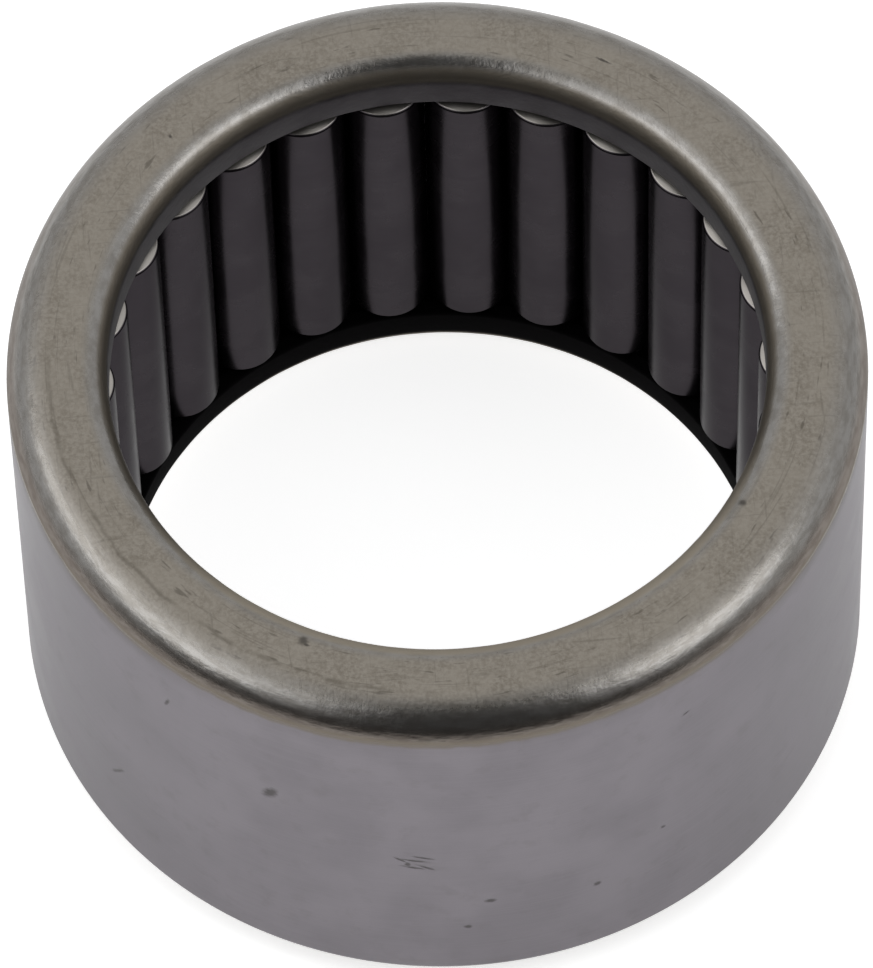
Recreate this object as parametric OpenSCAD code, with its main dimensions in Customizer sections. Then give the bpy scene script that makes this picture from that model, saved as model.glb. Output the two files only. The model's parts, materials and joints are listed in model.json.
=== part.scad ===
// Full-complement drawn-cup needle roller bearing.
// A one-piece cup of hardened sheet steel is the outer raceway. Both of its ends are turned in
// and curled down into lips, which hold the trunnions of a closed ring of needle rollers.
// There is no cage and no inner ring: the shaft runs straight on the rollers.
// Millimetres. The bearing's axis is Z, its middle is the origin, and the drawn end is +Z.

/* [Shaft and rollers] */
// Diameter of the shaft that runs on the rollers
shaft_d = 19.05; // [14:0.01:30]
// Diameter of a needle roller
roller_d = 2.5; // [2:0.001:3.5]
// Slope of a roller's shoulder, which rises from its body to its trunnion, in degrees
shoulder_slope = 11; // [5:1:30]
// Bevel on the edge between a roller's body and its shoulder
shoulder_bevel = 0.08; // [0.02:0.01:0.15]
// Bevel on the tip of a trunnion
trunnion_bevel = 0.12; // [0.02:0.01:0.2]

/* [Cup] */
// Width of the cup from end face to end face
width = 15.875; // [8:0.125:30]
// Thickness of the cup's wall at the raceway
cup_wall = 0.643; // [0.5:0.001:1.2]
// Thickness of the cup's end walls
end_wall = 0.8; // [0.6:0.01:1.2]
// Outer corner radius of the blank at the drawn end
drawn_corner_r = 1.4; // [0.3:0.05:1.6]
// Outer corner radius of the blank at the end that is curled over the rollers
curled_corner_r = 1.7; // [0.3:0.05:1.8]
// Depth that is ground off the blank's outside, which leaves an edge at both corners
grind_depth = 0.085; // [0.02:0.005:0.15]
// Corner radius between the raceway and an end wall
raceway_corner_r = 0.35; // [0.1:0.05:0.6]

/* [Lips] */
// Thickness of a curled lip
lip_wall = 0.5; // [0.3:0.01:0.6]
// How far a lip hangs down behind its end wall
lip_hook = 1; // [0.5:0.05:1.5]
// Rounding where the drawn end face turns into its lip
drawn_bend_r = 0.85; // [0.1:0.05:1]
// Rounding where the curled end face turns into its lip
curled_bend_r = 0.9; // [0.1:0.05:1.1]
// Rounding of the two edges of a lip's tip
lip_tip_r = 0.12; // [0.05:0.01:0.2]

/* [Clearances] */
// Gap between the shaft and the rollers
shaft_clear = 0.02; // [0.005:0.001:0.05]
// Oil film between the rollers and the raceway
oil_film = 0.012; // [0.005:0.001:0.05]
// Least gap between neighbouring rollers
roller_gap = 0.005; // [0.002:0.001:0.05]
// How far the lips stand back from the shaft, measured from the rollers' inner circle
lip_standoff = 0.15; // [0.1:0.001:0.3]
// Gap between a trunnion and its lip
trunnion_clear = 0.06; // [0.03:0.01:0.12]
// Gap between a roller's shoulder and the tip of its lip
shoulder_clear = 0.15; // [0.03:0.01:0.2]
// Gap between a trunnion's tip and its end wall
end_float = 0.1; // [0.05:0.01:0.2]

/* [Hidden] */
// Facets of a full circle: the ring and the small round things
ring_fn = 240;
small_fn = 64;

// Radii from the shaft outwards
roller_r = roller_d / 2;
inner_circle_r = shaft_d / 2 + shaft_clear;
pitch_r = inner_circle_r + roller_r;
raceway_r = pitch_r + roller_r + oil_film;
outer_r = raceway_r + cup_wall;
blank_r = outer_r + grind_depth;
lip_bore_r = inner_circle_r + lip_standoff;
lip_back_r = lip_bore_r + lip_wall;
trunnion_r = pitch_r - lip_back_r - trunnion_clear;

// Heights from the middle of the bearing to one end
half_width = width / 2;
end_wall_z = half_width - end_wall;
lip_tip_z = end_wall_z - lip_hook;
shoulder_rise = (roller_r - trunnion_r) * tan(shoulder_slope);
shoulder_top_z = lip_tip_z - shoulder_clear;
body_z = shoulder_top_z - shoulder_rise;
trunnion_z = end_wall_z - end_float;

// As many rollers as close the ring with their least gap
roller_count = floor(180 / asin((roller_r + roller_gap / 2) / pitch_r));
roller_step = 360 / roller_count;

function roller_name(i) = str("needle_roller_", i < 10 ? "0" : "", i);

// What a quarter circle of radius r leaves of a square corner at the origin, with the corner's
// material towards +X and +Y
module corner_waste(r) {
  difference() {
    translate([-r, -r]) square(2 * r);
    translate([r, r]) circle(r, $fn = small_fn);
    translate([r, -2 * r]) square(4 * r);
    translate([-2 * r, r]) square(4 * r);
  }
}

// A rectangle between two opposite corners
module block(low, high) {
  translate(low) square(high - low);
}

// Half of the cup's section: radius along X, height along Y, from the middle to one end
module cup_half_section(corner_r, bend_r) {
  difference() {
    block([lip_bore_r, 0], [outer_r, half_width]);
    raceway_pocket();
    block([lip_bore_r - lip_wall, -half_width], [lip_back_r, lip_tip_z]);
    translate([blank_r, half_width]) rotate(180) corner_waste(corner_r);
    translate([lip_bore_r, half_width]) mirror([0, 1]) corner_waste(bend_r);
    translate([lip_bore_r, lip_tip_z]) corner_waste(lip_tip_r);
    translate([lip_back_r, lip_tip_z]) mirror([1, 0]) corner_waste(lip_tip_r);
  }
}

// The space between the raceway, an end wall and the back of a lip
module raceway_pocket() {
  difference() {
    block([lip_back_r, -half_width], [raceway_r, end_wall_z]);
    translate([raceway_r, end_wall_z]) rotate(180) corner_waste(raceway_corner_r);
  }
}

// The cup: drawn from sheet, ground outside, with its far end curled over once the rollers are in
module drawn_cup() {
  color("#8c8880") rotate_extrude($fn = ring_fn) {
    cup_half_section(drawn_corner_r, drawn_bend_r);
    mirror([0, 1]) cup_half_section(curled_corner_r, curled_bend_r);
  }
}

// Upper half of a roller's outline, from the middle of its body to the tip of its trunnion
function roller_outline() = [
  [roller_r, body_z - shoulder_bevel],
  [roller_r - shoulder_bevel, body_z + shoulder_bevel * tan(shoulder_slope)],
  [trunnion_r, shoulder_top_z],
  [trunnion_r, trunnion_z - trunnion_bevel],
  [trunnion_r - trunnion_bevel, trunnion_z],
  [0, trunnion_z]
];

// One needle roller, standing in its place on the pitch circle
module needle_roller(i) {
  upper = roller_outline();
  lower = [for (k = [len(upper) - 1:-1:0]) [upper[k].x, -upper[k].y]];
  color("#6e6c6e") rotate((i - 1) * roller_step) translate([pitch_r, 0])
    rotate_extrude($fn = small_fn) polygon(concat(upper, lower));
}

drawn_cup();
for (i = [1:roller_count]) {
  needle_roller(i);
}
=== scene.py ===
import json
import math

import bpy
from mathutils import Matrix, Quaternion, Vector


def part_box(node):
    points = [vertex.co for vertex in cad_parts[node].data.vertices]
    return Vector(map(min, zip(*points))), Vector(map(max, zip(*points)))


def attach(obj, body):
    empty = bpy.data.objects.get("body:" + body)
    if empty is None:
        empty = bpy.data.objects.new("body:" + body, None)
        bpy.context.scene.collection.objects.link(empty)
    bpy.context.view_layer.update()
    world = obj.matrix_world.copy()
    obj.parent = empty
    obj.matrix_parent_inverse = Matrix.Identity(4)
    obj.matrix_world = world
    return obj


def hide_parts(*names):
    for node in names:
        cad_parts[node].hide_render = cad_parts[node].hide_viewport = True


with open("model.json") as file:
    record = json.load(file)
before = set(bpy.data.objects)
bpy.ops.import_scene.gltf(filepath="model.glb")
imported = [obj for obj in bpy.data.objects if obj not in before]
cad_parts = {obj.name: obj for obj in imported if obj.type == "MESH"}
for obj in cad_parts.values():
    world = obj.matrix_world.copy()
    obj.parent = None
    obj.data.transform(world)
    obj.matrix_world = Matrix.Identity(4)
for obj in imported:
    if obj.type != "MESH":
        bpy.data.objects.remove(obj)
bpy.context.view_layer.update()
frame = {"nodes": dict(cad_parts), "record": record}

# The drawn cup: one piece of case-hardened sheet steel, drawn to a thin ring that is the outer
# raceway. One end is drawn to shape and the other is curled over once the rollers are in. Its
# outside is ground, and its ends keep the dull, tumbled skin of the heat treatment.
MM = 0.001
mounts = {mount["name"]: mount for mount in frame["record"]["mounts"]}
outer_r = mounts["housing_seat"]["dims"]["r_mm"] * MM
lip_bore_r = mounts["shaft_bore"]["dims"]["r_mm"] * MM
half_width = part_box("drawn_cup")[1].z
cup_wall = 0.643 * MM
end_wall = 0.8 * MM
lip_wall = 0.5 * MM
lip_hook = 1.0 * MM
drawn_corner_r = 1.4 * MM
curled_corner_r = 1.7 * MM
grind_depth = 0.085 * MM
ground_edge_bevel = 0.045 * MM
raceway_corner_r = 0.35 * MM
drawn_bend_r = 0.85 * MM
curled_bend_r = 0.9 * MM
lip_tip_r = 0.12 * MM
raceway_r = outer_r - cup_wall
blank_r = outer_r + grind_depth
lip_back_r = lip_bore_r + lip_wall
end_wall_z = half_width - end_wall
lip_tip_z = end_wall_z - lip_hook
cup_steps = 480
corner_steps = 20
bend_steps = 18
lip_tip_steps = 4
raceway_corner_steps = 5
ground_edge_steps = 3
longest_run = 0.3 * MM
smooth_angle = math.radians(30.0)
tumble_depth = 0.009 * MM
tumble_size = 0.7 * MM
tumble_margin = 0.06 * MM


def ground_edge_z(corner_r):
    """Height of the edge that grinding leaves on a rounded corner of the blank."""
    return half_width - corner_r + math.sqrt(corner_r**2 - (corner_r - grind_depth) ** 2)


drawn_edge_z = ground_edge_z(drawn_corner_r)
curled_edge_z = ground_edge_z(curled_corner_r)


def same_place(a, b, slack=1e-6):
    """True where two heights or radii are the same place on the part."""
    return abs(a - b) < slack


def pick_section(mesh, wanted):
    """Selects the vertices of a flat section whose radius and height satisfy wanted."""
    bpy.ops.mesh.select_all(action="DESELECT")
    bpy.ops.object.mode_set(mode="OBJECT")
    for polygon in mesh.polygons:
        polygon.select = False
    for edge in mesh.edges:
        edge.select = False
    for vertex in mesh.vertices:
        vertex.select = wanted(vertex.co.x, vertex.co.z)
    bpy.ops.object.mode_set(mode="EDIT")
    bpy.ops.mesh.select_mode(type="VERT")


def push(offset):
    """Extrudes what is selected and moves it by offset."""
    bpy.ops.mesh.extrude_region_move(TRANSFORM_OT_translate={"value": offset})


def round_corner(mesh, radius, height, rounding, segments):
    """Rounds one corner of a flat section."""
    pick_section(mesh, lambda x, z: same_place(x, radius) and same_place(z, height, 0.01 * MM))
    bpy.ops.mesh.bevel(
        affect="VERTICES", offset_type="OFFSET", offset=rounding, segments=segments, profile=0.5
    )


def split_long_runs(mesh, longest, least_r, most_r):
    """Halves the section's edges between two radii until none of them is longer than longest."""
    for _ in range(8):
        bpy.ops.mesh.select_mode(type="EDGE")
        bpy.ops.mesh.select_all(action="DESELECT")
        bpy.ops.object.mode_set(mode="OBJECT")
        for edge in mesh.edges:
            a, b = (mesh.vertices[i].co for i in edge.vertices)
            edge.select = (a - b).length > longest and least_r < (a.x + b.x) / 2 < most_r
        bpy.ops.object.mode_set(mode="EDIT")
        bpy.ops.mesh.subdivide(number_cuts=1)


bpy.ops.object.select_all(action="DESELECT")
bpy.ops.mesh.primitive_plane_add(size=1.0)
cup = bpy.context.object
cup.name = "cup_body"
cup.data.name = "cup_body"
cup.scale = (blank_r - raceway_r, 2 * end_wall_z, 1.0)
cup.rotation_euler = (math.pi / 2, 0.0, 0.0)
cup.location = ((raceway_r + blank_r) / 2, 0.0, 0.0)
bpy.ops.object.transform_apply(location=True, rotation=True, scale=True)
bpy.ops.object.mode_set(mode="EDIT")
for end in (1, -1):
    pick_section(cup.data, lambda x, z: same_place(z, end * end_wall_z))
    push((0.0, 0.0, end * end_wall))
    pick_section(cup.data, lambda x, z: same_place(x, raceway_r) and end * z > end_wall_z - 1e-6)
    push((lip_back_r - raceway_r, 0.0, 0.0))
    push((-lip_wall, 0.0, 0.0))
    pick_section(cup.data, lambda x, z: x < lip_back_r + 1e-6 and same_place(z, end * end_wall_z))
    push((0.0, 0.0, -end * lip_hook))
bpy.ops.mesh.select_all(action="SELECT")
bpy.ops.mesh.remove_doubles(threshold=1e-8)
bpy.ops.mesh.dissolve_faces()
bpy.ops.mesh.select_all(action="SELECT")
bpy.ops.mesh.dissolve_limited(angle_limit=math.radians(1.0))
for end, corner, bend in ((1, drawn_corner_r, drawn_bend_r), (-1, curled_corner_r, curled_bend_r)):
    round_corner(cup.data, blank_r, end * half_width, corner, corner_steps)
    round_corner(cup.data, lip_bore_r, end * half_width, bend, bend_steps)
    round_corner(cup.data, lip_bore_r, end * lip_tip_z, lip_tip_r, lip_tip_steps)
    round_corner(cup.data, lip_back_r, end * lip_tip_z, lip_tip_r, lip_tip_steps)
    round_corner(cup.data, raceway_r, end * end_wall_z, raceway_corner_r, raceway_corner_steps)
bpy.ops.mesh.select_all(action="SELECT")
bpy.ops.mesh.bisect(
    plane_co=(outer_r, 0.0, 0.0), plane_no=(1.0, 0.0, 0.0), clear_outer=True, threshold=1e-7
)
round_corner(cup.data, outer_r, drawn_edge_z, ground_edge_bevel, ground_edge_steps)
round_corner(cup.data, outer_r, -curled_edge_z, ground_edge_bevel, ground_edge_steps)
bpy.ops.mesh.select_all(action="SELECT")
bpy.ops.mesh.delete(type="ONLY_FACE")
split_long_runs(cup.data, longest_run, raceway_r + cup_wall / 2, blank_r)
split_long_runs(cup.data, longest_run, lip_bore_r + drawn_bend_r / 2, raceway_r - raceway_corner_r)
bpy.ops.object.mode_set(mode="OBJECT")
turning = cup.modifiers.new("turned", "SCREW")
turning.axis = "Z"
turning.angle = 2 * math.pi
turning.steps = cup_steps
turning.render_steps = cup_steps
turning.use_merge_vertices = True
turning.merge_threshold = 1e-7
bpy.ops.object.modifier_apply(modifier="turned")
bpy.ops.object.mode_set(mode="EDIT")
bpy.ops.mesh.select_all(action="SELECT")
bpy.ops.mesh.normals_make_consistent(inside=False)
bpy.ops.object.mode_set(mode="OBJECT")
bpy.ops.object.shade_smooth_by_angle(angle=smooth_angle)

# Tumbling has left the cup's ends slightly uneven, but not its ground outside or its raceway.
tumbled_vertices = []
for vertex in cup.data.vertices:
    ring_r = math.hypot(vertex.co.x, vertex.co.y)
    past_drawn_edge = vertex.co.z > drawn_edge_z + tumble_margin
    past_curled_edge = vertex.co.z < -curled_edge_z - tumble_margin
    in_pocket = ring_r > lip_back_r - 1e-6 and abs(vertex.co.z) < end_wall_z + 1e-6
    if (past_drawn_edge or past_curled_edge) and not in_pocket:
        tumbled_vertices.append(vertex.index)
uneven = cup.vertex_groups.new(name="uneven")
uneven.add(tumbled_vertices, 1.0, "REPLACE")
tumbling = bpy.data.textures.new("tumbling", "CLOUDS")
tumbling.noise_scale = tumble_size
tumbling.noise_depth = 2
wear = cup.modifiers.new("tumbled_ends", "DISPLACE")
wear.texture = tumbling
wear.texture_coords = "LOCAL"
wear.vertex_group = "uneven"
wear.mid_level = 1.0
wear.strength = tumble_depth
bpy.ops.object.modifier_apply(modifier="tumbled_ends")


def add_node(tree, kind, sockets=None, **settings):
    """Adds a shader node. An entry of sockets is a value, or another node's output to link."""
    node = tree.nodes.new(kind)
    for name, value in settings.items():
        setattr(node, name, value)
    for key, value in (sockets or {}).items():
        if isinstance(value, bpy.types.NodeSocket):
            tree.links.new(value, node.inputs[key])
        else:
            node.inputs[key].default_value = value
    return node


def scaled(tree, place, scale, turn=(0.0, 0.0, 0.0)):
    """Coordinates stretched by scale and then turned."""
    sockets = {"Vector": place, "Scale": scale, "Rotation": turn}
    return add_node(tree, "ShaderNodeMapping", sockets).outputs[0]


def noise(tree, place, scale, detail=2.0, roughness=0.5):
    """Noise between 0 and 1, with scale waves to one unit of its coordinates."""
    sockets = {"Vector": place, "Scale": scale, "Detail": detail, "Roughness": roughness}
    return add_node(tree, "ShaderNodeTexNoise", sockets).outputs[0]


def maths(tree, operation, a, b=0.0):
    """One step of arithmetic."""
    return add_node(tree, "ShaderNodeMath", {0: a, 1: b}, operation=operation).outputs[0]


def times(tree, a, b):
    """The product of two numbers."""
    return maths(tree, "MULTIPLY", a, b)


def fade(tree, value, start, end, low=0.0, high=1.0):
    """Goes smoothly from low to high as value goes from start to end."""
    sockets = {"Value": value, "From Min": start, "From Max": end, "To Min": low, "To Max": high}
    return add_node(tree, "ShaderNodeMapRange", sockets, interpolation_type="SMOOTHSTEP").outputs[0]


def blend(tree, amount, a, b):
    """A colour between a and b."""
    return add_node(tree, "ShaderNodeMix", {0: amount, 6: a, 7: b}, data_type="RGBA").outputs[2]


def mixed(tree, amount, a, b):
    """A number between a and b."""
    return add_node(tree, "ShaderNodeMix", {0: amount, 2: a, 3: b}, data_type="FLOAT").outputs[0]


def ellipse(tree, place, centre, turn, half_sizes):
    """Distance from a mark's centre, 1 on the mark's rim. The turn's last part is the mark's bearing."""
    sockets = {"Vector": place, "Location": centre, "Rotation": turn, "Scale": half_sizes}
    local = add_node(tree, "ShaderNodeMapping", sockets, vector_type="TEXTURE").outputs[0]
    return add_node(tree, "ShaderNodeVectorMath", {0: local}, operation="LENGTH").outputs[1]


cup_finish = bpy.data.materials.new("cup_steel")
cup_finish.use_nodes = True
steel = cup_finish.node_tree
cup_shader = steel.nodes["Principled BSDF"]
here = add_node(steel, "ShaderNodeTexCoord").outputs["Object"]
here_mm = scaled(steel, here, (1000.0, 1000.0, 1000.0))
flat_mm = scaled(steel, here, (1000.0, 1000.0, 0.0))
radius_mm = add_node(steel, "ShaderNodeVectorMath", {0: flat_mm}, operation="LENGTH").outputs[1]
along_x_mm, along_y_mm, height_mm = add_node(steel, "ShaderNodeSeparateXYZ", {0: here_mm}).outputs
from_middle_mm = maths(steel, "ABSOLUTE", height_mm)
lip_mm = lip_bore_r / MM
raceway_mm = raceway_r / MM
blank_mm = blank_r / MM
end_wall_mm = end_wall_z / MM
drawn_edge_mm = drawn_edge_z / MM
curled_edge_mm = curled_edge_z / MM

# Where the cup is ground: between the two corner edges, whose run-out is slightly wavy.
run_out = times(steel, noise(steel, here_mm, 1.6, 4.0, 0.6), 0.3)
drawn_side = maths(steel, "ADD", height_mm, run_out)
curled_side = maths(steel, "SUBTRACT", height_mm, run_out)
below_drawn = fade(steel, drawn_side, drawn_edge_mm + 0.04, drawn_edge_mm + 0.1, 1.0, 0.0)
above_curled = fade(steel, curled_side, -curled_edge_mm - 0.6, -curled_edge_mm - 0.4)
outside = fade(steel, radius_mm, raceway_mm + 0.2, raceway_mm + 0.25)
ground = times(steel, times(steel, below_drawn, above_curled), outside)

# The cup's inside: the lips' bore is dark and the curled end's inner lip black, both painted shade, and
# the raceway is bright.
lip_wall_skin = fade(steel, radius_mm, lip_mm + 0.01, lip_mm + 0.06, 1.0, 0.0)
behind = fade(steel, from_middle_mm, end_wall_mm - 0.1, end_wall_mm, 1.0, 0.0)
pocket_skin = times(steel, behind, maths(steel, "SUBTRACT", 1.0, outside))
inner_skin = maths(steel, "MAXIMUM", lip_wall_skin, pocket_skin)
on_raceway = fade(steel, radius_mm, raceway_mm - 0.6, raceway_mm - 0.3)
painted_shade_line_mm = -raceway_mm / 2
low_painted_shade = fade(steel, height_mm, painted_shade_line_mm, painted_shade_line_mm + 1.0, 1.0, 0.0)

# The tumbled ends: warm grey, mottled, with fine hair lines in two directions. They are silvery where the
# corner and the bend are worn, and browner at the edges.
tan_dark = (0.182, 0.162, 0.135, 1.0)
tan_light = (0.233, 0.211, 0.179, 1.0)
tan_grain = (0.262, 0.24, 0.207, 1.0)
hair_brown = (0.11, 0.098, 0.082, 1.0)
scratch_brown = (0.1, 0.088, 0.072, 1.0)
dash_brown = (0.08, 0.07, 0.058, 1.0)
silver_dark = (0.175, 0.168, 0.159, 1.0)
silver_light = (0.235, 0.23, 0.224, 1.0)
lip_dull = (0.15, 0.13, 0.103, 1.0)
# The next colour is painted light, for the front of the lip's rim.
lip_painted_light = (0.36, 0.322, 0.262, 1.0)
# The scale colours below are darkened in part as painted shade.
scale_and_shade_dark = (0.1, 0.082, 0.07, 1.0)
scale_and_shade_light = (0.136, 0.116, 0.1, 1.0)
edge_brown = (0.128, 0.111, 0.091, 1.0)


def ring_coordinates(around, across, across_scale):
    """Coordinates for streaks that run round the cup."""
    return add_node(steel, "ShaderNodeCombineXYZ", {
        0: times(steel, along_x_mm, around),
        1: times(steel, along_y_mm, around),
        2: times(steel, across, across_scale),
    }).outputs[0]


mottle = fade(steel, noise(steel, here_mm, 0.7, 6.0, 0.62), 0.35, 0.65)
grain = noise(steel, here_mm, 9.0, 4.0, 0.6)
hair_a = noise(steel, scaled(steel, here_mm, (0.5, 9.0, 3.0), (0.0, 0.0, 0.5)), 1.0, 2.0)
hair_b = noise(steel, scaled(steel, here_mm, (9.0, 0.6, 3.0), (0.0, 0.0, 0.3)), 1.0, 2.0)
hair = maths(steel, "MAXIMUM", fade(steel, hair_a, 0.62, 0.74), fade(steel, hair_b, 0.62, 0.74))
ring_streak = noise(steel, ring_coordinates(0.3, radius_mm, 11.0), 1.0, 3.0)
ring_scratch = fade(steel, ring_streak, 0.6, 0.7)
dash = fade(steel, noise(steel, ring_coordinates(1.3, radius_mm, 7.0), 1.0, 2.0), 0.64, 0.74)
tumbled = blend(steel, mottle, tan_dark, tan_light)
tumbled = blend(steel, fade(steel, grain, 0.3, 0.7), tumbled, tan_grain)
tumbled = blend(steel, times(steel, hair, 0.3), tumbled, hair_brown)
tumbled = blend(steel, times(steel, ring_scratch, 0.3), tumbled, scratch_brown)
tumbled = blend(steel, times(steel, dash, 0.55), tumbled, dash_brown)
on_corner = fade(steel, radius_mm, blank_mm - drawn_corner_r / MM, blank_mm - 0.5)
down_corner = maths(steel, "SUBTRACT", radius_mm, from_middle_mm)
speckle = fade(steel, noise(steel, ring_coordinates(1.7, down_corner, 4.5), 1.0, 5.0, 0.65), 0.36, 0.64)
on_bend = fade(steel, radius_mm, lip_mm + 0.45, lip_mm + drawn_bend_r / MM, 1.0, 0.0)
rounded = maths(steel, "MAXIMUM", on_corner, on_bend)
silver = blend(steel, speckle, silver_dark, silver_light)
tumbled = blend(steel, times(steel, rounded, 0.85), tumbled, silver)

# The lip's rim: dull all round. In front it is painted paler and wider, as painted light, and it is
# rougher there.
front_lip = fade(steel, along_y_mm, -8.5, -3.0, 1.0, 0.0)
lip_reach = maths(steel, "SUBTRACT", radius_mm, times(steel, front_lip, 0.22))
near_lip = fade(steel, lip_reach, lip_mm + 0.2, lip_mm + 0.4, 1.0, 0.0)
lip_colour_and_painted_light = blend(steel, front_lip, lip_dull, lip_painted_light)
tumbled = blend(steel, times(steel, near_lip, 0.85), tumbled, lip_colour_and_painted_light)

# The brown scale that is left low on the corner, down to the ground edge, darkened further as painted
# shade for the dark that the lower corner reflects.
low_corner_scale_and_shade = fade(steel, radius_mm, blank_mm - 0.45, blank_mm - 0.2)
scale_and_painted_shade = blend(steel, speckle, scale_and_shade_dark, scale_and_shade_light)
tumbled = blend(steel, times(steel, low_corner_scale_and_shade, 0.8), tumbled, scale_and_painted_shade)
at_edge = fade(steel, radius_mm, blank_mm - 0.15, blank_mm - 0.09)
tumbled = blend(steel, times(steel, at_edge, 0.8), tumbled, edge_brown)

# A faint, broken line round the end face, in front on the left.
step_mm = 11.2
step_r = maths(steel, "ADD", times(steel, noise(steel, here_mm, 0.8, 4.0, 0.6), 0.5), step_mm)
from_step = maths(steel, "ABSOLUTE", maths(steel, "SUBTRACT", radius_mm, step_r))
step_line = fade(steel, from_step, 0.0, 0.11, 1.0, 0.0)
step_breaks = fade(steel, noise(steel, here_mm, 0.9, 3.0), 0.42, 0.56, 0.05, 0.5)
step_line = times(steel, step_line, step_breaks)
step_line = times(steel, step_line, fade(steel, along_x_mm, -3.0, 2.0, 1.0, 0.0))
step_line = times(steel, step_line, fade(steel, along_y_mm, -2.0, 3.0, 1.0, 0.0))
tumbled = blend(steel, step_line, tumbled, scratch_brown)

# The ground outside: cool grey and even, with a brown fringe along its upper edge. Below that edge it is
# darker brown, partly heat tint and partly painted shade, weakest in front.
ground_dark = (0.153, 0.142, 0.156, 1.0)
ground_light = (0.184, 0.171, 0.187, 1.0)
line_grey = (0.205, 0.194, 0.207, 1.0)
heat_tint_and_shade_brown = (0.085, 0.075, 0.072, 1.0)
fringe_brown = (0.136, 0.118, 0.096, 1.0)
smudge_grey = (0.1, 0.09, 0.093, 1.0)
cloud = fade(steel, noise(steel, here_mm, 0.32, 4.0, 0.55), 0.35, 0.65)
ground_lines = noise(steel, scaled(steel, here_mm, (0.25, 0.25, 16.0)), 1.0, 3.0)
ground_colour = blend(steel, cloud, ground_dark, ground_light)
ground_colour = blend(steel, fade(steel, ground_lines, 0.35, 0.75, 0.0, 0.2), ground_colour, line_grey)
fringe = fade(steel, drawn_side, drawn_edge_mm - 0.16, drawn_edge_mm + 0.02)
# Heat tint with painted shade below the edge: weak in front, strong at the sides.
heat_tint_and_painted_shade = fade(steel, drawn_side, drawn_edge_mm - 0.8, drawn_edge_mm)
heat_tint_and_painted_shade = times(steel, heat_tint_and_painted_shade, fade(steel, along_y_mm, -11.5, -6.0, 0.1, 0.6))
ground_colour = blend(steel, heat_tint_and_painted_shade, ground_colour, heat_tint_and_shade_brown)
ground_colour = blend(steel, times(steel, fringe, 0.85), ground_colour, fringe_brown)
smudge = fade(steel, noise(steel, here_mm, 1.2, 5.0, 0.65), 0.52, 0.72, 0.0, 0.2)
ground_colour = blend(steel, smudge, ground_colour, smudge_grey)

# The three finishes together.
# The bore colours are painted shade, and the black below is painted shade at the curled end.
bore_painted_shade_dark = (0.031, 0.027, 0.03, 1.0)
bore_painted_shade_light = (0.041, 0.037, 0.04, 1.0)
raceway_bright = (0.3, 0.285, 0.3, 1.0)
painted_shade_black = (0.008, 0.0074, 0.008, 1.0)
inner_colour_and_shade = blend(steel, mottle, bore_painted_shade_dark, bore_painted_shade_light)
inner_colour_and_shade = blend(steel, on_raceway, inner_colour_and_shade, raceway_bright)
inner_colour_and_shade = blend(steel, low_painted_shade, inner_colour_and_shade, painted_shade_black)
colour = blend(steel, ground, tumbled, ground_colour)
colour = blend(steel, inner_skin, colour, inner_colour_and_shade)

# Handling nicks: bearing in degrees, radius and height of the centre, turn in degrees, and half sizes
# towards the axis, along the rim and along the axis, in millimetres.
nicks = (
    (-118.6, 12.7, 2.34, -30, 0.3, 0.23, 0.46),
    (-101.0, 12.7, -0.12, -34, 0.3, 0.3, 0.06),
    (-99.0, 12.7, -0.14, -8, 0.3, 0.6, 0.06),
    (-99.3, 12.7, -0.56, -12, 0.3, 0.45, 0.055),
    (-97.6, 12.7, -0.52, -30, 0.3, 0.36, 0.06),
    (-97.9, 12.7, 0.06, -14, 0.3, 0.4, 0.05),
    (-100.0, 12.7, -0.38, 0, 0.3, 0.12, 0.13),
    (-89.1, 12.7, -2.77, 0, 0.3, 0.24, 0.13),
    (-92.2, 12.7, -4.3, 0, 0.3, 0.14, 0.13),
    (-74.3, 12.7, -3.22, 0, 0.3, 0.14, 0.14),
    (-145.1, 12.7, -2.56, 55, 0.3, 0.6, 0.09),
    (-134.2, 12.7, 4.66, 70, 0.3, 0.3, 0.08),
    (-64.4, 12.7, -1.48, 0, 0.3, 0.1, 0.08),
    (-60.9, 12.7, 4.73, 20, 0.3, 0.16, 0.07),
    (-15.0, 12.7, 1.1, 35, 0.3, 0.35, 0.04),
    (24.0, 12.7, -3.6, -50, 0.3, 0.3, 0.04),
    (71.0, 12.7, 2.9, 15, 0.3, 0.5, 0.04),
    (118.0, 12.7, -1.2, 0, 0.3, 0.16, 0.1),
    (163.0, 12.7, 3.4, 65, 0.3, 0.3, 0.035),
    (-117.2, 10.47, 7.94, 0, 0.2, 0.19, 0.4),
    (-116.6, 10.56, 7.94, 0, 0.06, 0.16, 0.3),
    (-35.8, 10.32, 7.94, 0, 0.15, 0.15, 0.4),
    (58.0, 11.2, 7.94, 0, 0.05, 0.3, 0.3),
    (131.0, 10.9, 7.94, 0, 0.09, 0.07, 0.3),
    (40.0, 11.0, -7.94, 0, 0.1, 0.12, 0.3),
    (-150.0, 10.9, -7.94, 0, 0.05, 0.35, 0.3),
)
nick_brown = (0.04, 0.036, 0.033, 1.0)
nick_shade = 0.75
nick_depth = 3.0
ragged = times(steel, maths(steel, "SUBTRACT", noise(steel, here_mm, 6.0, 3.0), 0.5), 0.7)
nicked = 0.0
for bearing, nick_r, nick_z, turn, towards_axis, along_rim, along_axis in nicks:
    bearing = math.radians(bearing)
    centre = (nick_r * MM * math.cos(bearing), nick_r * MM * math.sin(bearing), nick_z * MM)
    half_sizes = (towards_axis * MM, along_rim * MM, along_axis * MM)
    rim = ellipse(steel, here, centre, (math.radians(turn), 0.0, bearing), half_sizes)
    rim = maths(steel, "ADD", rim, ragged)
    nicked = maths(steel, "MAXIMUM", nicked, fade(steel, rim, 0.3, 1.1, 1.0, 0.0))
colour = blend(steel, times(steel, nicked, nick_shade), colour, nick_brown)
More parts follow.
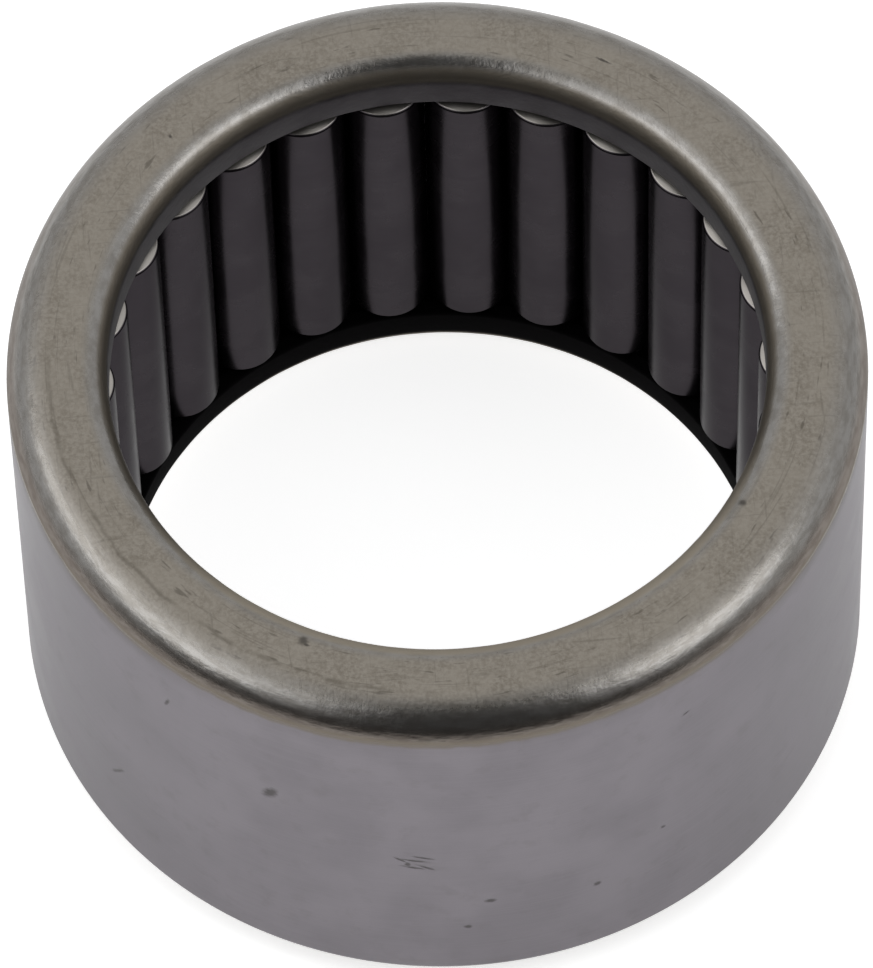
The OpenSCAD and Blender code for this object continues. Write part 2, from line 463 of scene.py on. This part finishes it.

# Gloss and fine relief: the worn roundings are the smoothest, the painted shade at the curled end is the
# dullest.
bump_depth = 0.006 * MM
rough_end = mixed(steel, grain, 0.34, 0.46)
rough_end = mixed(steel, rounded, rough_end, mixed(steel, grain, 0.16, 0.28))
rough_end = mixed(steel, near_lip, rough_end, mixed(steel, front_lip, 0.48, 0.75))
rough_ground = mixed(steel, cloud, 0.34, 0.4)
rough = mixed(steel, ground, rough_end, rough_ground)
rough = mixed(steel, inner_skin, rough, mixed(steel, low_painted_shade, 0.42, 0.95))
bump_end = maths(steel, "ADD", times(steel, noise(steel, here_mm, 2.6, 3.0), 2.0), grain)
bump_end = maths(steel, "SUBTRACT", bump_end, times(steel, hair, 0.2))
bump_end = maths(steel, "SUBTRACT", bump_end, times(steel, ring_scratch, 0.2))
corner_dents = times(steel, times(steel, speckle, on_corner), 0.25)
bump_end = times(steel, bump_end, mixed(steel, on_corner, 1.0, 0.5))
bump_end = maths(steel, "ADD", bump_end, corner_dents)
bump_height = mixed(steel, ground, bump_end, times(steel, ground_lines, 0.35))
bump_height = maths(steel, "SUBTRACT", bump_height, times(steel, nicked, nick_depth))
bump_sockets = {"Strength": 1.0, "Distance": bump_depth, "Height": bump_height}
bump = add_node(steel, "ShaderNodeBump", bump_sockets)
cup_shader.inputs["Metallic"].default_value = 1.0
cup_shader.inputs["Specular Tint"].default_value = (0.73, 0.73, 0.73, 1.0)
steel.links.new(colour, cup_shader.inputs["Base Color"])
steel.links.new(rough, cup_shader.inputs["Roughness"])
steel.links.new(bump.outputs[0], cup_shader.inputs["Normal"])
cup.data.materials.append(cup_finish)
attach(cup, "drawn_cup")
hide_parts("drawn_cup")

# The needle rollers: through-hardened bearing steel, ground to one diameter. Each end has a sloped
# shoulder and a thin trunnion, which sits behind the cup's lip and keeps the roller in.
roller_nodes = sorted(name for name in frame["nodes"] if name.startswith("needle_roller_"))
first_low, first_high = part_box(roller_nodes[0])
roller_r = (first_high.y - first_low.y) / 2
pitch_r = (first_low.x + first_high.x) / 2
trunnion_z = first_high.z
trunnion_clear = 0.06 * MM
shoulder_clear = 0.15 * MM
shoulder_slope = math.radians(11.0)
shoulder_bevel = 0.08 * MM
trunnion_bevel = 0.12 * MM
trunnion_r = pitch_r - lip_back_r - trunnion_clear
shoulder_top_z = lip_tip_z - shoulder_clear
body_z = shoulder_top_z - (roller_r - trunnion_r) * math.tan(shoulder_slope)
roller_sides = 96
shoulder_steps = 6
trunnion_steps = 4

bpy.ops.object.select_all(action="DESELECT")
bpy.ops.mesh.primitive_cylinder_add(
    vertices=roller_sides,
    radius=roller_r,
    depth=2 * body_z,
    end_fill_type="NGON",
    location=(pitch_r, 0.0, 0.0),
)
roller = bpy.context.object
bpy.ops.object.transform_apply(location=True, rotation=True, scale=True)


def pick_faces(mesh, wanted):
    """Selects the faces whose centre and normal satisfy wanted, and nothing else."""
    bpy.ops.object.mode_set(mode="EDIT")
    bpy.ops.mesh.select_mode(type="FACE")
    bpy.ops.mesh.select_all(action="DESELECT")
    bpy.ops.object.mode_set(mode="OBJECT")
    for polygon in mesh.polygons:
        polygon.select = wanted(polygon.center, polygon.normal)
    bpy.ops.object.mode_set(mode="EDIT")


def pick_rings(mesh, heights):
    """Selects the level edges at the given heights above or below the middle."""
    bpy.ops.object.mode_set(mode="EDIT")
    bpy.ops.mesh.select_mode(type="EDGE")
    bpy.ops.mesh.select_all(action="DESELECT")
    bpy.ops.object.mode_set(mode="OBJECT")
    for edge in mesh.edges:
        a, b = (mesh.vertices[i].co for i in edge.vertices)
        level = same_place(a.z, b.z)
        edge.select = level and any(same_place(abs(a.z), z) for z in heights)
    bpy.ops.object.mode_set(mode="EDIT")


for end in (1, -1):
    pick_faces(roller.data, lambda centre, normal: normal.z * end > 0.9)
    bpy.ops.mesh.inset(thickness=roller_r - trunnion_r, use_even_offset=True)
    bpy.ops.transform.translate(value=(0.0, 0.0, end * (shoulder_top_z - body_z)))
    push((0.0, 0.0, end * (trunnion_z - shoulder_top_z)))
pick_rings(roller.data, (body_z,))
bpy.ops.mesh.bevel(affect="EDGES", offset=shoulder_bevel, segments=shoulder_steps, profile=0.5)
pick_rings(roller.data, (trunnion_z,))
bpy.ops.mesh.bevel(affect="EDGES", offset=trunnion_bevel, segments=trunnion_steps, profile=0.5)
bpy.ops.mesh.select_all(action="SELECT")
bpy.ops.mesh.normals_make_consistent(inside=False)
bpy.ops.object.mode_set(mode="OBJECT")
bpy.ops.object.shade_smooth_by_angle(angle=smooth_angle)

# The roller body's colours are darkened to near black as painted shade; the turned ends keep a bright
# steel colour.
body_painted_shade_dark = (0.042, 0.037, 0.0417, 1.0)
body_painted_shade_light = (0.05, 0.0445, 0.0495, 1.0)
body_painted_shade_line = (0.062, 0.056, 0.061, 1.0)
end_bright = (0.36, 0.342, 0.318, 1.0)
line_depth = 0.0001 * MM
roller_finish = bpy.data.materials.new("roller_steel")
roller_finish.use_nodes = True
needle = roller_finish.node_tree
roller_shader = needle.nodes["Principled BSDF"]
here = add_node(needle, "ShaderNodeTexCoord").outputs["Object"]
here_mm = scaled(needle, here, (1000.0, 1000.0, 1000.0))
height_mm = add_node(needle, "ShaderNodeSeparateXYZ", {0: here_mm}).outputs[2]
from_middle_mm = maths(needle, "ABSOLUTE", height_mm)
turned_end = fade(needle, from_middle_mm, body_z / MM - 0.005, body_z / MM + 0.015)
stain = fade(needle, noise(needle, here_mm, 0.5, 4.0, 0.6), 0.35, 0.65)
fine_lines = noise(needle, scaled(needle, here_mm, (0.6, 0.6, 14.0)), 1.0, 3.0)
body_colour_and_painted_shade = blend(needle, stain, body_painted_shade_dark, body_painted_shade_light)
body_colour_and_painted_shade = blend(needle, fade(needle, fine_lines, 0.4, 0.8, 0.0, 0.25), body_colour_and_painted_shade, body_painted_shade_line)
roller_colour = blend(needle, turned_end, body_colour_and_painted_shade, end_bright)
roller_rough = mixed(needle, turned_end, mixed(needle, stain, 0.23, 0.29), 0.33)
line_sockets = {"Strength": 1.0, "Distance": line_depth, "Height": fine_lines}
lines_bump = add_node(needle, "ShaderNodeBump", line_sockets)
roller_shader.inputs["Metallic"].default_value = 1.0
roller_shader.inputs["Specular Tint"].default_value = (0.5, 0.5, 0.5, 1.0)
needle.links.new(roller_colour, roller_shader.inputs["Base Color"])
needle.links.new(roller_rough, roller_shader.inputs["Roughness"])
needle.links.new(lines_bump.outputs[0], roller_shader.inputs["Normal"])
roller.data.materials.append(roller_finish)
for node in roller_nodes:
    low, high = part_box(node)
    angle = math.atan2(low.y + high.y, low.x + high.x)
    mesh = roller.data.copy()
    mesh.transform(Matrix.Rotation(angle, 4, "Z"))
    piece = bpy.data.objects.new(node.replace("needle_roller", "roller"), mesh)
    mesh.name = piece.name
    bpy.context.scene.collection.objects.link(piece)
    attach(piece, node)
    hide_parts(node)
bpy.data.objects.remove(roller)

# The floor: a plain pale table, on which the bearing stands on its curled end. A light panel in its
# middle shines through, most of all up the bore.
floor_size = 3.0
panel_black = (0.0, 0.0, 0.0, 1.0)
panel_pale = (0.66, 0.66, 0.66, 1.0)
panel_white = (1.0, 1.0, 1.0, 1.0)
bpy.ops.object.select_all(action="DESELECT")
bpy.ops.mesh.primitive_plane_add(size=floor_size, location=(0.0, 0.0, -half_width))
floor = bpy.context.object
floor.name = "floor"
floor_finish = bpy.data.materials.new("pale_table")
floor_finish.use_nodes = True
table = floor_finish.node_tree
floor_shader = table.nodes["Principled BSDF"]
floor_shader.inputs["Base Color"].default_value = (0.92, 0.92, 0.92, 1.0)
floor_shader.inputs["Roughness"].default_value = 0.8
floor_place = add_node(table, "ShaderNodeTexCoord").outputs["Object"]
from_bearing = add_node(table, "ShaderNodeVectorMath", {0: floor_place}, operation="LENGTH").outputs[1]
lit_middle = fade(table, from_bearing, 0.09, 0.2, 1.0, 0.0)
lit_colour = blend(table, lit_middle, panel_black, panel_pale)
under_bore = fade(table, from_bearing, 0.0105, 0.0125, 1.0, 0.0)
lit_colour = blend(table, under_bore, lit_colour, panel_white)
table.links.new(lit_colour, floor_shader.inputs["Emission Color"])
floor_shader.inputs["Emission Strength"].default_value = 0.76
floor.data.materials.append(floor_finish)

# The light: a large soft box and a narrower strip on each side, above the bearing. The room is pale,
# but dim at table height in front, with a dark strip that runs from overhead down to the front.
room_dim = (0.14, 0.14, 0.14, 1.0)
room_pale = (0.9, 0.9, 0.9, 1.0)
ceiling_pale = (0.95, 0.95, 0.95, 1.0)
strip_dark = (0.1, 0.1, 0.1, 1.0)
world = bpy.data.worlds.new("grey_room")
bpy.context.scene.world = world
world.use_nodes = True
room = world.node_tree
towards = add_node(room, "ShaderNodeTexCoord").outputs["Generated"]
sideways, backwards, upwards = add_node(room, "ShaderNodeSeparateXYZ", {0: towards}).outputs
pale_sockets = {0: towards, 1: (0.18, 1.0, 0.0)}
pale_side = add_node(room, "ShaderNodeVectorMath", pale_sockets, operation="DOT_PRODUCT").outputs[1]
low_colour = blend(room, fade(room, pale_side, -0.8, 0.0), room_dim, room_pale)
room_colour = blend(room, fade(room, upwards, 0.25, 0.65), low_colour, ceiling_pale)
from_middle = maths(room, "ADD", maths(room, "ABSOLUTE", sideways), times(room, backwards, 0.45))
dark_middle = fade(room, from_middle, 0.02, 0.14, 1.0, 0.0)
dark_front = fade(room, backwards, 0.03, 0.15, 1.0, 0.0)
room_colour = blend(room, times(room, dark_middle, dark_front), room_colour, strip_dark)
room.links.new(room_colour, room.nodes["Background"].inputs["Color"])


def soft_box(name, place, width, depth, power):
    """A rectangular area light that faces the middle of the bearing."""
    lamp = bpy.data.lights.new(name, "AREA")
    lamp.shape = "RECTANGLE"
    lamp.size = width
    lamp.size_y = depth
    lamp.energy = power
    box = bpy.data.objects.new(name, lamp)
    box.location = place
    box.rotation_euler = (-Vector(place)).to_track_quat("-Z", "Y").to_euler()
    bpy.context.scene.collection.objects.link(box)


soft_box("left_box", (-0.458, -0.032, 0.528), 0.81, 0.566, 0.9)
soft_box("left_strip", (-0.527, -0.037, 0.459), 0.75, 0.24, 0.58)
soft_box("right_box", (0.413, -0.201, 0.528), 0.375, 0.566, 0.42)
soft_box("right_strip", (0.436, -0.252, 0.486), 0.42, 0.3, 0.45)

# The camera: a long lens, high in front of the bearing and turned slightly to one side. Its image is
# taken to be 873 by 968 pixels, and the lens is set by the longer side.
view_azimuth = math.radians(-4.188)
view_elevation = math.radians(59.962)
view_distance = 0.33467
view_roll = math.radians(1.676)
lens_px = 11151.9
frame_long_px = 968
aim_right = -0.0001201
aim_up = 0.0000564
sight = Vector((
    math.sin(view_azimuth) * math.cos(view_elevation),
    -math.cos(view_azimuth) * math.cos(view_elevation),
    math.sin(view_elevation),
))
across = Vector((math.cos(view_azimuth), math.sin(view_azimuth), 0.0))
aim = across * aim_right + sight.cross(across) * aim_up
camera_data = bpy.data.cameras.new("camera")
camera_data.sensor_width = 36.0
camera_data.lens = lens_px * camera_data.sensor_width / frame_long_px
camera_data.clip_start = 0.01
camera_data.clip_end = 10.0
camera = bpy.data.objects.new("camera", camera_data)
bpy.context.scene.collection.objects.link(camera)
camera.location = sight * view_distance
look = (aim - camera.location).to_track_quat("-Z", "Y")
camera.rotation_mode = "QUATERNION"
camera.rotation_quaternion = look @ Quaternion((0.0, 0.0, 1.0), -view_roll)
bpy.context.scene.camera = camera
bpy.context.scene.view_settings.view_transform = "Standard"
